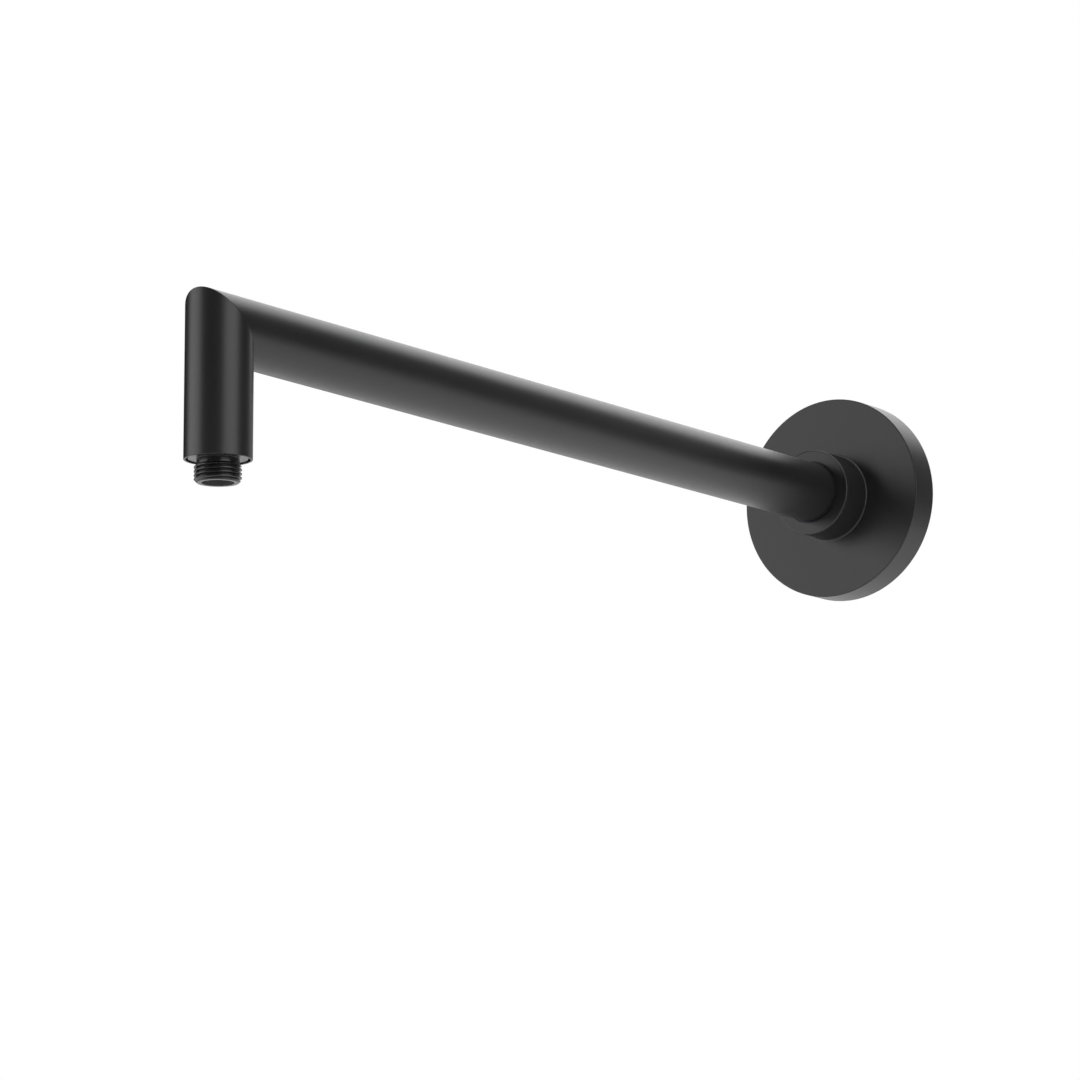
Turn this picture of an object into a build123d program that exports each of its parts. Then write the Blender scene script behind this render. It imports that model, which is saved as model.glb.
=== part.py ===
"""Wall-mounted shower arm: mitred tubes with a pipe-thread nipple in each end and a sliding wall flange.

The wall face is the plane Y = 0. The arm runs from it along -Y and drops along -Z to the outlet.
All sizes are in millimetres.
"""

import os

from build123d import *

# Tubes: a long run and a short drop, cut to a mitre where they are brazed together.
tube_diameter = 30.0
tube_wall = 2.0
reach = 515.0  # wall face to the axis of the drop
drop = 58.7  # axis of the run to the lower end of the drop
setback = 4.0  # wall face to the wall end of the run
tube_edge_chamfer = 0.2

# Seats bored into the two open tube ends, in which the nipples are brazed.
seat_wall = 1.0
seat_depth = 12.0
seat_clearance = 0.05

# Nipples: a half-inch pipe thread, given by its outer diameter and depth.
thread_diameter = 20.8
thread_depth = 1.1
thread_chamfer = 1.35
nipple_wall = 2.2  # from the thread root to the bore
face_recess = 0.5  # nipple face inside the tube end
face_gap = 0.85  # width of the groove between the nipple face and the seat wall
face_gap_depth = 2.5
neck_length = 2.4
outlet_projection = 10.1  # end of the drop to the end of the outlet nipple
inlet_projection = 22.5  # wall end of the run to the end of the inlet nipple

# Wall flange: a hollow disc and a thick collar turned as one piece.
flange_diameter = 102.4
flange_depth = 16.6
flange_rim = 3.0
flange_face = 3.0
flange_edge_chamfer = 0.5
collar_length = 19.0
collar_wall = 5.9
collar_clearance = 0.75
collar_chamfer = 0.15
collar_base_fillet = 0.8

# Rubber ring of square section, in a groove behind the lip of the collar's mouth.
ring_height = 2.5
ring_width = 3.0
ring_corner = 0.25
ring_gap = 0.02
groove_play = 0.1
mouth_lip = 0.5  # collar front to the groove

tube_radius = tube_diameter / 2
seat_radius = tube_radius - seat_wall
thread_radius = thread_diameter / 2
neck_radius = thread_radius - thread_depth
nipple_bore_radius = neck_radius - nipple_wall
collar_bore_radius = tube_radius + collar_clearance
collar_radius = collar_bore_radius + collar_wall
collar_front = flange_depth + collar_length
groove_width = ring_width + 2 * groove_play
ring_middle = collar_front - mouth_lip - groove_width / 2

# Each open tube end has a plane with X across the tube and Y pointing out of it.
outlet_end = Plane((0, -reach, -drop), x_dir=(1, 0, 0), z_dir=(0, 1, 0))
inlet_end = Plane((0, -setback, 0), x_dir=(1, 0, 0), z_dir=(0, 0, 1))
mitre = Plane((0, -reach, 0), x_dir=(1, 0, 0), z_dir=(0, 1, 1))


def nipple_section(projection):
    """Half-section of a nipple on its tube end, X from the axis and Y out of the tube."""
    face = -face_recess
    head_radius = seat_radius - seat_clearance
    face_radius = seat_radius - face_gap
    thread_start = face + neck_length
    with BuildSketch() as section:
        with BuildLine():
            Polyline(
                (nipple_bore_radius, -seat_depth),
                (head_radius, -seat_depth),
                (head_radius, face - face_gap_depth),
                (face_radius, face - face_gap_depth),
                (face_radius, face),
                (neck_radius, face),
                (neck_radius, thread_start),
                (thread_radius, thread_start + thread_depth),
                (thread_radius, projection - thread_chamfer),
                (thread_radius - thread_chamfer, projection),
                (nipple_bore_radius, projection),
                close=True,
            )
        make_face()
    return section.sketch


with BuildPart() as run_tube:
    with BuildSketch(Plane.XZ.offset(setback)):
        Circle(tube_radius)
        Circle(tube_radius - tube_wall, mode=Mode.SUBTRACT)
    extrude(amount=reach - setback + tube_radius)
    split(bisect_by=mitre, keep=Keep.TOP)
    with BuildSketch(Plane.XZ.offset(setback)):
        Circle(seat_radius)
    extrude(amount=seat_depth, mode=Mode.SUBTRACT)
    run_end = run_tube.faces().sort_by(Axis.Y)[-1]
    chamfer(run_end.outer_wire().edges(), length=tube_edge_chamfer)
run_tube.part.label = "run_tube"

with BuildPart() as drop_tube:
    with BuildSketch(Plane((0, -reach, -drop))):
        Circle(tube_radius)
        Circle(tube_radius - tube_wall, mode=Mode.SUBTRACT)
    extrude(amount=drop + tube_radius)
    split(bisect_by=mitre, keep=Keep.BOTTOM)
    with BuildSketch(Plane((0, -reach, -drop))):
        Circle(seat_radius)
    extrude(amount=seat_depth, mode=Mode.SUBTRACT)
    drop_end = drop_tube.faces().sort_by(Axis.Z)[0]
    chamfer(drop_end.outer_wire().edges(), length=tube_edge_chamfer)
drop_tube.part.label = "drop_tube"

with BuildPart() as outlet_nipple:
    with BuildSketch(outlet_end):
        add(nipple_section(outlet_projection))
    revolve(axis=Axis(outlet_end.origin, outlet_end.y_dir))
outlet_nipple.part.label = "outlet_nipple"

with BuildPart() as inlet_nipple:
    with BuildSketch(inlet_end):
        add(nipple_section(inlet_projection))
    revolve(axis=Axis.Y)
inlet_nipple.part.label = "inlet_nipple"

with BuildPart() as wall_flange:
    with BuildSketch(Plane.XZ):
        Circle(flange_diameter / 2)
    extrude(amount=flange_depth)
    with BuildSketch(Plane.XZ.offset(flange_depth)):
        Circle(collar_radius)
    extrude(amount=collar_length)
    collar_rim = wall_flange.edges().filter_by_position(Axis.Y, -collar_front, -collar_front)
    chamfer(collar_rim, length=flange_edge_chamfer)
    disc_front = wall_flange.edges().filter_by_position(Axis.Y, -flange_depth, -flange_depth)
    disc_front = disc_front.sort_by(SortBy.RADIUS)
    chamfer(disc_front[-1], length=flange_edge_chamfer)
    fillet(disc_front[0], radius=collar_base_fillet)
    with BuildSketch(Plane.XZ):
        Circle(flange_diameter / 2 - flange_rim)
    extrude(amount=flange_depth - flange_face, mode=Mode.SUBTRACT)
    with BuildSketch(Plane.XZ):
        Circle(collar_bore_radius)
    extrude(amount=collar_front, mode=Mode.SUBTRACT)
    with BuildSketch(Plane.XZ.offset(ring_middle)):
        Circle(tube_radius + ring_height)
    extrude(amount=groove_width / 2, both=True, mode=Mode.SUBTRACT)
    collar_mouth = wall_flange.edges().filter_by_position(Axis.Y, -collar_front, -collar_front)
    chamfer(collar_mouth.sort_by(SortBy.RADIUS)[0], length=collar_chamfer)
wall_flange.part.label = "wall_flange"

with BuildPart() as flange_ring:
    with BuildSketch(Plane.XY):
        with Locations((tube_radius + ring_height / 2, -ring_middle)):
            ring_section = Rectangle(ring_height - 2 * ring_gap, ring_width)
        chamfer(ring_section.vertices(), length=ring_corner)
    revolve(axis=Axis.Y)
flange_ring.part.label = "flange_ring"

os.makedirs("parts", exist_ok=True)
export_step(run_tube.part, "parts/run_tube.step")
export_step(drop_tube.part, "parts/drop_tube.step")
export_step(outlet_nipple.part, "parts/outlet_nipple.step")
export_step(inlet_nipple.part, "parts/inlet_nipple.step")
export_step(wall_flange.part, "parts/wall_flange.step")
export_step(flange_ring.part, "parts/flange_ring.step")
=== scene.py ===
"""Wall-mounted shower arm in satin black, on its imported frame, under soft studio light.

All lengths are in metres. The wall face is the plane Y = 0, and the arm runs along -Y.
"""

from math import copysign, cos, pi, radians, sin, tan

import bmesh
import bpy
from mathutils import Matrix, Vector


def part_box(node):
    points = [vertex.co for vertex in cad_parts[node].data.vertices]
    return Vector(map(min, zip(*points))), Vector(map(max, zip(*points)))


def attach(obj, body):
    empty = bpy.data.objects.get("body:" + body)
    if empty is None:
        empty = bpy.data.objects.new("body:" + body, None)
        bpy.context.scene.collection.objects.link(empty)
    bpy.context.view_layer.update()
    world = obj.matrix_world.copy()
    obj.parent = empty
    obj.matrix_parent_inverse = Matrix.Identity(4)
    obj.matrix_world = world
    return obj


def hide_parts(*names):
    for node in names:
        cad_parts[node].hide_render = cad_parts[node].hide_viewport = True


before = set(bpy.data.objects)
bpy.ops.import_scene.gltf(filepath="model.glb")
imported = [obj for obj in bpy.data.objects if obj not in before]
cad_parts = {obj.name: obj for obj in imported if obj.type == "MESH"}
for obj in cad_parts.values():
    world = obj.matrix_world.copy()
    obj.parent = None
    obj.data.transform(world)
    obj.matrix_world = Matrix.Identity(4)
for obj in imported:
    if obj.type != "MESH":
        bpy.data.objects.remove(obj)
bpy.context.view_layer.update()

mm = 0.001

run_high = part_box("run_tube")[1]
drop_low, drop_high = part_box("drop_tube")
flange_low, flange_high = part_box("wall_flange")
outlet_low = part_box("outlet_nipple")[0]
inlet_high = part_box("inlet_nipple")[1]
ring_low, ring_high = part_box("flange_ring")

# Tubes, with the mitre's edge eased as it is after grinding and coating.
tube_wall = 2.0 * mm
seat_wall = 1.0 * mm
seat_depth = 12.0 * mm
tube_edge = 0.25 * mm
mouth_edge = 0.08 * mm
mitre_ease = 0.2 * mm
mitre_margin = 0.2 * mm
tube_columns = 192
tube_radius = (drop_high.x - drop_low.x) / 2
bore_radius = tube_radius - tube_wall
seat_radius = tube_radius - seat_wall
reach = -(drop_low.y + drop_high.y) / 2
drop = -drop_low.z
setback = -run_high.y

# Nipples, with a half-inch pipe thread.
thread_pitch = 1.814 * mm
thread_radius = 10.4 * mm
thread_depth = 1.1 * mm
thread_crest = 0.42 * mm
thread_root = 0.12 * mm
thread_chamfer = 1.35 * mm
flank_rounding = 0.6
rows_per_turn = 24
thread_columns = 144
neck_length = 2.4 * mm
neck_fillet = 0.2 * mm
nipple_wall = 2.2 * mm
bore_edge = 0.12 * mm
face_edge = 0.12 * mm
face_recess = 0.5 * mm
face_gap = 0.85 * mm
face_gap_depth = 2.5 * mm
seat_clearance = 0.05 * mm
neck_radius = thread_radius - thread_depth
nipple_bore = neck_radius - nipple_wall
outlet_projection = -drop - outlet_low.z
inlet_projection = inlet_high.y + setback

# Wall flange, with the groove for its rubber ring.
flange_depth = 16.6 * mm
flange_rim = 3.0 * mm
flange_face = 3.0 * mm
collar_wall = 5.9 * mm
collar_clearance = 0.75 * mm
disc_edge = 0.5 * mm
collar_edge = 0.65 * mm
mouth_round = 0.15 * mm
base_fillet = 0.8 * mm
back_round = 0.2 * mm
hollow_fillet = 0.5 * mm
ring_gap = 0.02 * mm
groove_play = 0.1 * mm
flange_columns = 256
flange_radius = (flange_high.x - flange_low.x) / 2
collar_front = -flange_low.y
collar_bore = tube_radius + collar_clearance
collar_radius = collar_bore + collar_wall
groove_radius = ring_high.x + ring_gap

# Edges whose faces turn by more than this angle are shaded sharp.
sharp_turn = radians(38)

# Camera and floor.
camera_azimuth = radians(35.193)
camera_elevation = radians(-9.992)
camera_place = Vector((1.343704, -2.179825, -0.469829))
camera_lens = 168.3164
camera_sensor = 36.0
camera_range = 50.0
floor_height = -0.8
floor_radius = 4.0
floor_sides = 96


class Wire:
    """Output socket of a shader tree, whose sums, differences and products become Math nodes."""

    def __init__(self, shader, socket):
        self.shader = shader
        self.socket = socket

    def math(self, operation, first, second):
        return self.shader.node("ShaderNodeMath", {"operation": operation}, {0: first, 1: second})

    def __add__(self, other):
        return self.math("ADD", self, other)

    def __radd__(self, other):
        return self.math("ADD", other, self)

    def __sub__(self, other):
        return self.math("SUBTRACT", self, other)

    def __rsub__(self, other):
        return self.math("SUBTRACT", other, self)

    def __mul__(self, other):
        return self.math("MULTIPLY", self, other)

    def __rmul__(self, other):
        return self.math("MULTIPLY", other, self)

    def most(self, other):
        return self.math("MAXIMUM", self, other)

    def output(self, name):
        return Wire(self.shader, self.socket.node.outputs[name])


class Shader:
    """Node tree of a material or a world, emptied for new nodes."""

    def __init__(self, owner):
        owner.use_nodes = True
        self.tree = owner.node_tree
        self.tree.nodes.clear()

    def node(self, kind, settings, sockets):
        made = self.tree.nodes.new(kind)
        for name, value in settings.items():
            setattr(made, name, value)
        for key, value in sockets.items():
            if isinstance(value, Wire):
                self.tree.links.new(value.socket, made.inputs[key])
            else:
                made.inputs[key].default_value = value
        outputs = [socket for socket in made.outputs if socket.enabled]
        return Wire(self, outputs[0]) if outputs else None

    def noise(self, scale, detail, roughness):
        """Noise over the object, from 0 to 1 with a mean of a half."""
        coordinates = self.node("ShaderNodeTexCoord", {}, {}).output("Object")
        sockets = {"Vector": coordinates, "Scale": scale, "Detail": detail, "Roughness": roughness}
        return self.node("ShaderNodeTexNoise", {}, sockets)

    def colour(self, red, green, blue):
        return self.node("ShaderNodeCombineColor", {}, {"Red": red, "Green": green, "Blue": blue})


def black_finish(name, tone, roughness, grain):
    """Satin black coat, by its mean reflectance, its mean roughness and the depth of its powder."""
    cloud_tone = 0.3
    powder_tone = 0.3
    cloud_roughness = 0.04
    mottle_roughness = 0.06
    mottle_depth = 0.5
    blue_cast = 1.03
    material = bpy.data.materials.new(name)
    shader = Shader(material)
    cloud = shader.noise(scale=35.0, detail=3.0, roughness=0.6)
    mottle = shader.noise(scale=420.0, detail=2.0, roughness=0.5)
    powder = shader.noise(scale=3200.0, detail=2.0, roughness=0.6)
    darkest = 1 - (cloud_tone + powder_tone) / 2
    shade = tone * (darkest + cloud * cloud_tone + powder * powder_tone)
    tint = shader.colour(shade, shade, shade * blue_cast)
    smoothest = roughness - (cloud_roughness + mottle_roughness) / 2
    rough = smoothest + cloud * cloud_roughness + mottle * mottle_roughness
    relief = powder + mottle * mottle_depth
    bump = shader.node("ShaderNodeBump", {}, {"Height": relief, "Strength": 0.2, "Distance": grain})
    surface = shader.node(
        "ShaderNodeBsdfPrincipled",
        {},
        {"Base Color": tint, "Roughness": rough, "Specular IOR Level": 0.5, "Normal": bump},
    )
    shader.node("ShaderNodeOutputMaterial", {}, {"Surface": surface})
    return material


def black_rubber(name):
    """Matt blue-black rubber with a slight bloom."""
    darkest = 0.035
    bloom_tone = 0.03
    smoothest = 0.45
    bloom_roughness = 0.2
    red_cast = 0.85
    blue_cast = 1.3
    skin_depth = 0.04 * mm
    material = bpy.data.materials.new(name)
    shader = Shader(material)
    bloom = shader.noise(scale=260.0, detail=4.0, roughness=0.65)
    skin = shader.noise(scale=2400.0, detail=2.0, roughness=0.5)
    shade = darkest + bloom * bloom_tone
    tint = shader.colour(shade * red_cast, shade, shade * blue_cast)
    rough = smoothest + bloom * bloom_roughness
    bump = shader.node("ShaderNodeBump", {}, {"Height": skin, "Strength": 0.25, "Distance": skin_depth})
    surface = shader.node(
        "ShaderNodeBsdfPrincipled", {}, {"Base Color": tint, "Roughness": rough, "Normal": bump}
    )
    shader.node("ShaderNodeOutputMaterial", {}, {"Surface": surface})
    return material


def pale_floor(name):
    """Plain pale floor paint, a little uneven, and clear from below so that the outlet can be seen."""
    darkest = 0.86
    cloud_tone = 0.04
    smoothest = 0.8
    cloud_roughness = 0.1
    material = bpy.data.materials.new(name)
    shader = Shader(material)
    cloud = shader.noise(scale=1.5, detail=2.0, roughness=0.5)
    paint = shader.node(
        "ShaderNodeBsdfPrincipled",
        {},
        {
            "Base Color": darkest + cloud * cloud_tone,
            "Roughness": smoothest + cloud * cloud_roughness,
            "Specular IOR Level": 0.1,
        },
    )
    underside = shader.node("ShaderNodeNewGeometry", {}, {}).output("Backfacing")
    clear = shader.node("ShaderNodeBsdfTransparent", {}, {})
    surface = shader.node("ShaderNodeMixShader", {}, {0: underside, 1: paint, 2: clear})
    shader.node("ShaderNodeOutputMaterial", {}, {"Surface": surface})
    return material


def scene_object(name, data):
    """New object of the scene that holds a mesh or a camera."""
    added = bpy.data.objects.new(name, data)
    bpy.context.scene.collection.objects.link(added)
    return added


def ring_mesh(name, rings, material):
    """Closed skin through a closed loop of rings that have equally many points."""
    count = len(rings[0])
    points = [point for ring in rings for point in ring]
    faces = []
    for row in range(len(rings)):
        below = row * count
        above = (row + 1) % len(rings) * count
        for column in range(count):
            beside = (column + 1) % count
            faces.append((below + column, below + beside, above + beside, above + column))
    mesh = bpy.data.meshes.new(name)
    mesh.from_pydata(points, [], faces)
    skin = bmesh.new()
    skin.from_mesh(mesh)
    bmesh.ops.recalc_face_normals(skin, faces=skin.faces)
    skin.to_mesh(mesh)
    skin.free()
    mesh.shade_smooth()
    mesh.set_sharp_from_angle(angle=sharp_turn)
    mesh.materials.append(material)
    piece = scene_object(name, mesh)
    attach(piece, "root")
    return piece


def rounded_section(corners, steps, margin):
    """Closed outline through corners (across, along, round), with a point beside each round."""
    outline = []
    for index, (across, along, ease) in enumerate(corners):
        corner = Vector((across, along))
        if ease == 0:
            outline.append(corner)
            continue
        following = corners[(index + 1) % len(corners)]
        before = (Vector(corners[index - 1][:2]) - corner).normalized()
        after = (Vector(following[:2]) - corner).normalized()
        half = before.angle(after) / 2
        tangent = ease / tan(half)
        centre = corner + (before + after).normalized() * (ease / sin(half))
        start = corner + before * tangent - centre
        end = corner + after * tangent - centre
        turn = copysign(pi - 2 * half, start.x * end.y - start.y * end.x)
        outline.append(corner + before * (tangent + margin))
        for step in range(steps + 1):
            angle = turn * step / steps
            across_arc = start.x * cos(angle) - start.y * sin(angle)
            along_arc = start.x * sin(angle) + start.y * cos(angle)
            outline.append(centre + Vector((across_arc, along_arc)))
        outline.append(corner + after * (tangent + margin))
    return outline


def angles(count):
    """Angles of equal steps round a circle."""
    return [2 * pi * index / count for index in range(count)]


def tube_end(steps):
    """Open tube end from the outer skin to the bore, as (radius, distance from the end)."""
    profile = []
    for step in range(steps + 1):
        turn = pi / 2 * step / steps
        profile.append((tube_radius - tube_edge * (1 - cos(turn)), tube_edge * (1 - sin(turn))))
    profile.append((tube_radius - 2 * tube_edge, 0.0))
    profile.append((seat_radius + mouth_edge, 0.0))
    profile.append((seat_radius, mouth_edge))
    profile.append((seat_radius, seat_depth))
    profile.append((bore_radius, seat_depth))
    return profile


def mitre_bend(radius, steps):
    """Rings round the corner from run to drop, each line of the tube eased by the same round."""
    turns = [pi / 2 * step / steps for step in range(steps + 1)]
    bends = [(mitre_ease * (1 - sin(turn)), mitre_ease * (1 - cos(turn))) for turn in turns]
    straight = mitre_ease + mitre_margin
    rings = []
    for back, down in [(straight, 0.0)] + bends + [(0.0, straight)]:
        ring = []
        for angle in angles(tube_columns):
            height = radius * sin(angle)
            ring.append((radius * cos(angle), back - reach - height, height - down))
        rings.append(ring)
    return rings


def arm_rings():
    """Rings of the brazed arm: outside from wall to outlet, then back through the bore."""
    end = tube_end(steps=5)
    around = angles(tube_columns)
    rings = []
    for radius, depth in reversed(end):
        rings.append([(radius * cos(a), -setback - depth, radius * sin(a)) for a in around])
    rings.extend(mitre_bend(tube_radius, steps=6))
    for radius, depth in end:
        rings.append([(radius * cos(a), -reach - radius * sin(a), depth - drop) for a in around])
    rings.extend(reversed(mitre_bend(bore_radius, steps=3)))
    return rings


def thread_height(phase):
    """Height of the thread over its root, from 0 to 1, at a phase measured in turns from a crest."""
    distance = abs(phase - round(phase)) * thread_pitch
    flank = (thread_pitch - thread_crest - thread_root) / 2
    rise = (thread_pitch / 2 - thread_root / 2 - distance) / flank
    rise = min(max(rise, 0.0), 1.0)
    rounded = rise * rise * (3 - 2 * rise)
    return rounded * flank_rounding + rise * (1 - flank_rounding)


def nipple_profile(projection):
    """Half-section of a nipple from its bore, as (largest radius, distance along it, threaded)."""
    face = -face_recess
    head_radius = seat_radius - seat_clearance
    face_radius = seat_radius - face_gap
    groove_floor = face - face_gap_depth
    thread_start = face + neck_length
    head = rounded_section(
        [
            (nipple_bore, -seat_depth, 0),
            (head_radius, -seat_depth, 0),
            (head_radius, groove_floor, 0),
            (face_radius, groove_floor, 0),
            (face_radius, face, face_edge),
            (neck_radius, face, neck_fillet),
            (neck_radius, thread_start, 0),
        ],
        steps=4,
        margin=0.1 * mm,
    )
    profile = [(radius, along, False) for radius, along in head]
    # The thread rises from the neck and ends in a chamfer, both at 45 degrees.
    rows = round((projection - thread_start) / thread_pitch * rows_per_turn)
    for row in range(1, rows + 1):
        along = thread_start + (projection - thread_start) * row / rows
        start_limit = neck_radius + along - thread_start
        end_limit = thread_radius - along + projection - thread_chamfer
        profile.append((min(start_limit, end_limit, thread_radius), along, True))
    profile.append((nipple_bore + bore_edge, projection, False))
    profile.append((nipple_bore, projection - bore_edge, False))
    return profile


def nipple_rings(origin, out, projection):
    """Rings of a turned nipple with a right-hand thread, round the axis that points out of the tube."""
    turn = out.to_track_quat("Z", "Y")
    rings = []
    for limit, along, threaded in nipple_profile(projection):
        ring = []
        for angle in angles(thread_columns):
            phase = along / thread_pitch - angle / (2 * pi)
            cut = neck_radius + thread_depth * thread_height(phase)
            radius = min(limit, cut) if threaded else limit
            ring.append(origin + turn @ Vector((radius * cos(angle), radius * sin(angle), along)))
        rings.append(ring)
    return rings


def threaded_nipple(name, origin, out, projection):
    """Nipple in the turned coat, whose bore is the last band of the skin and is a lighter, rougher
    black.
    """
    piece = ring_mesh(name, nipple_rings(origin, out, projection), turned_coat)
    piece.data.materials.append(bore_coat)
    for polygon in piece.data.polygons[-thread_columns:]:
        polygon.material_index = 1
    return piece


def flange_rings():
    """Rings of the hollow wall disc and its collar, turned as one piece."""
    inside = flange_depth - flange_face
    groove_near = -ring_high.y - groove_play
    groove_far = -ring_low.y + groove_play
    outline = rounded_section(
        [
            (flange_radius, 0.0, back_round),
            (flange_radius, flange_depth, disc_edge),
            (collar_radius, flange_depth, base_fillet),
            (collar_radius, collar_front, collar_edge),
            (collar_bore, collar_front, mouth_round),
            (collar_bore, groove_far, 0),
            (groove_radius, groove_far, 0),
            (groove_radius, groove_near, 0),
            (collar_bore, groove_near, 0),
            (collar_bore, inside, 0),
            (flange_radius - flange_rim, inside, hollow_fillet),
            (flange_radius - flange_rim, 0.0, 0),
        ],
        steps=6,
        margin=0.15 * mm,
    )
    around = angles(flange_columns)
    return [[(radius * cos(a), -along, radius * sin(a)) for a in around] for radius, along in outline]


def studio_floor():
    """Wide round floor well below the arm."""
    around = angles(floor_sides)
    edge = [(floor_radius * cos(a), floor_radius * sin(a), floor_height) for a in around]
    mesh = bpy.data.meshes.new("floor")
    mesh.from_pydata(edge, [], [tuple(range(floor_sides))])
    mesh.materials.append(pale_floor("floor_paint"))
    floor = scene_object("floor", mesh)


def direction(side, height):
    """Unit vector, in degrees from the camera round to its right and in degrees above the horizon."""
    turn = camera_azimuth - pi / 2 + radians(side)
    rise = radians(height)
    return Vector((cos(turn) * cos(rise), sin(turn) * cos(rise), sin(rise)))


def studio_light():
    """Soft panels round the object as a world, before a white backdrop."""
    world = bpy.data.worlds.new("studio")
    bpy.context.scene.world = world
    shader = Shader(world)
    ray = shader.node("ShaderNodeTexCoord", {}, {}).output("Generated")

    def panel(side, height, half_width, softness, brightness):
        """Round panel about a direction, all in degrees, that fades over its edge."""
        facing = shader.node(
            "ShaderNodeVectorMath", {"operation": "DOT_PRODUCT"}, {0: ray, 1: direction(side, height)}
        )
        limits = {
            "Value": facing,
            "From Min": cos(radians(half_width + softness)),
            "From Max": cos(radians(half_width - softness)),
            "To Max": brightness,
        }
        return shader.node("ShaderNodeMapRange", {"interpolation_type": "SMOOTHSTEP"}, limits)

    left = panel(side=-86, height=-2, half_width=28, softness=6, brightness=2.35)
    right = panel(side=45, height=10, half_width=25, softness=6, brightness=2.2)
    behind = panel(side=165, height=36, half_width=24, softness=7, brightness=1.8)
    glow = panel(side=140, height=8, half_width=14, softness=4, brightness=0.95)
    sill = panel(side=110, height=-9, half_width=9, softness=4, brightness=0.5)
    above = panel(side=38, height=80, half_width=40, softness=6, brightness=1.92)
    backdrop = panel(side=178, height=-12, half_width=13, softness=8, brightness=1.0)
    flag = panel(side=-152, height=10, half_width=24, softness=6, brightness=1.0)
    room = 0.02
    open_side = 1.0 - flag
    panels = (left + right + behind + glow + sill + above + room) * open_side
    path = shader.node("ShaderNodeLightPath", {}, {})
    seen = path.output("Is Camera Ray").most(path.output("Is Transmission Ray"))
    white = seen.most(path.output("Is Glossy Ray") * backdrop * open_side)
    light = panels * (1.0 - white) + white
    background = shader.node("ShaderNodeBackground", {}, {"Color": light, "Strength": 1.0})
    shader.node("ShaderNodeOutputWorld", {}, {"Surface": background})


def studio_camera():
    """Camera below the arm, that looks up at it from its front right."""
    data = bpy.data.cameras.new("camera")
    data.lens = camera_lens
    data.sensor_width = camera_sensor
    data.clip_end = camera_range
    camera = scene_object("camera", data)
    level = cos(camera_elevation)
    sight = Vector((-sin(camera_azimuth) * level, cos(camera_azimuth) * level, -sin(camera_elevation)))
    camera.location = camera_place
    camera.rotation_mode = "QUATERNION"
    camera.rotation_quaternion = sight.to_track_quat("-Z", "Y")
    bpy.context.scene.camera = camera


tube_coat = black_finish("black_finish_tube", tone=0.01, roughness=0.36, grain=0.008 * mm)
turned_coat = black_finish("black_finish_turned", tone=0.01, roughness=0.29, grain=0.003 * mm)
bore_coat = black_finish("black_finish_bore", tone=0.06, roughness=0.5, grain=0.004 * mm)
rubber = black_rubber("black_rubber_moulded")

arm = ring_mesh("arm", arm_rings(), tube_coat)
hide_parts("run_tube", "drop_tube")

outlet_end = Vector((0, -reach, -drop))
outlet = threaded_nipple("threaded_outlet", outlet_end, Vector((0, 0, -1)), outlet_projection)
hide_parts("outlet_nipple")

inlet_end = Vector((0, -setback, 0))
inlet = threaded_nipple("threaded_inlet", inlet_end, Vector((0, 1, 0)), inlet_projection)
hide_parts("inlet_nipple")

flange = ring_mesh("flange", flange_rings(), tube_coat)
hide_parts("wall_flange")

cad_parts["flange_ring"].material_slots[0].material = rubber

studio_floor()
studio_light()
studio_camera()
bpy.context.scene.view_settings.view_transform = "Standard"
